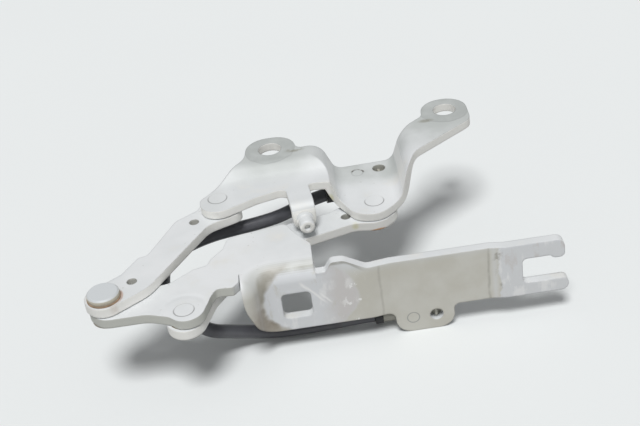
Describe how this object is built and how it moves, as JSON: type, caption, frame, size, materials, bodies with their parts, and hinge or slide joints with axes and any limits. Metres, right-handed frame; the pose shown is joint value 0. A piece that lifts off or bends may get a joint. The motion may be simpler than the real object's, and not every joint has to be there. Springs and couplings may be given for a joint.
{
  "type": "bonnet hinge",
  "caption": "Four-bar bonnet hinge of stamped plates: slotted body flange with arm, pressed bonnet bracket with two ears, riveted links and an earth lead.",
  "frame": {"origin": "centre of the square body hole, on the seat face of the body flange", "axes": "+X along the body flange to its fork, +Y away from the seat face, +Z along the pivot axes, towards the ears"},
  "size_m": [0.2378, 0.1482, 0.0678],
  "materials": {
    "painted": "light silver paint",
    "rivet": "zinc plated",
    "bush": "dull bronze",
    "washer": "light rust",
    "lead": "satin jacket",
    "lug": "tinned",
    "copper": "bare copper strands",
    "sleeve": "matt"
  },
  "bodies": {
    "body": {"body_bracket": "painted", "main_body_rivet": "rivet", "main_body_washer": "washer", "control_body_rivet": "rivet", "body_lug": "lug", "body_lug_rivet": "rivet", "body_lug_strands": "copper", "body_lug_sleeve": "sleeve", "earth_lead_lower": "lead"},
    "main": {"main_link": "painted", "main_body_bush": "bush", "main_bonnet_bush": "bush"},
    "control": {"control_link": "painted", "control_body_bush": "bush"},
    "bonnet": {"bonnet_bracket": "painted", "main_bonnet_rivet": "rivet", "control_bonnet_rivet": "rivet", "control_bonnet_bush": "bush", "strut_stud": "painted", "bonnet_lug": "lug", "bonnet_lug_rivet": "rivet", "bonnet_lug_strands": "copper", "bonnet_lug_sleeve": "sleeve", "earth_lead_upper": "lead"}
  },
  "joints": [
    {"name": "main_pivot", "type": "hinge", "parent": "body", "child": "main", "pos_m": [-0.091, -0.0095, 0.026], "axis": [0, 0, 1], "range_deg": [0, 70], "deforming": ["earth_lead_upper", "earth_lead_lower"]},
    {"name": "control_pivot", "type": "hinge", "parent": "body", "child": "control", "pos_m": [-0.053, -0.021, 0.015], "axis": [0, 0, 1], "range_deg": [0, 60]},
    {"name": "bonnet_pivot", "type": "hinge", "parent": "main", "child": "bonnet", "pos_m": [-0.034, 0.0575, 0.031], "axis": [0, 0, 1], "range_deg": [-42, 0]}
  ],
  "couplings": [
    {"joint": "control_pivot", "follows": "main_pivot", "ratio": 0.84},
    {"joint": "bonnet_pivot", "follows": "main_pivot", "ratio": -0.58}
  ]
}
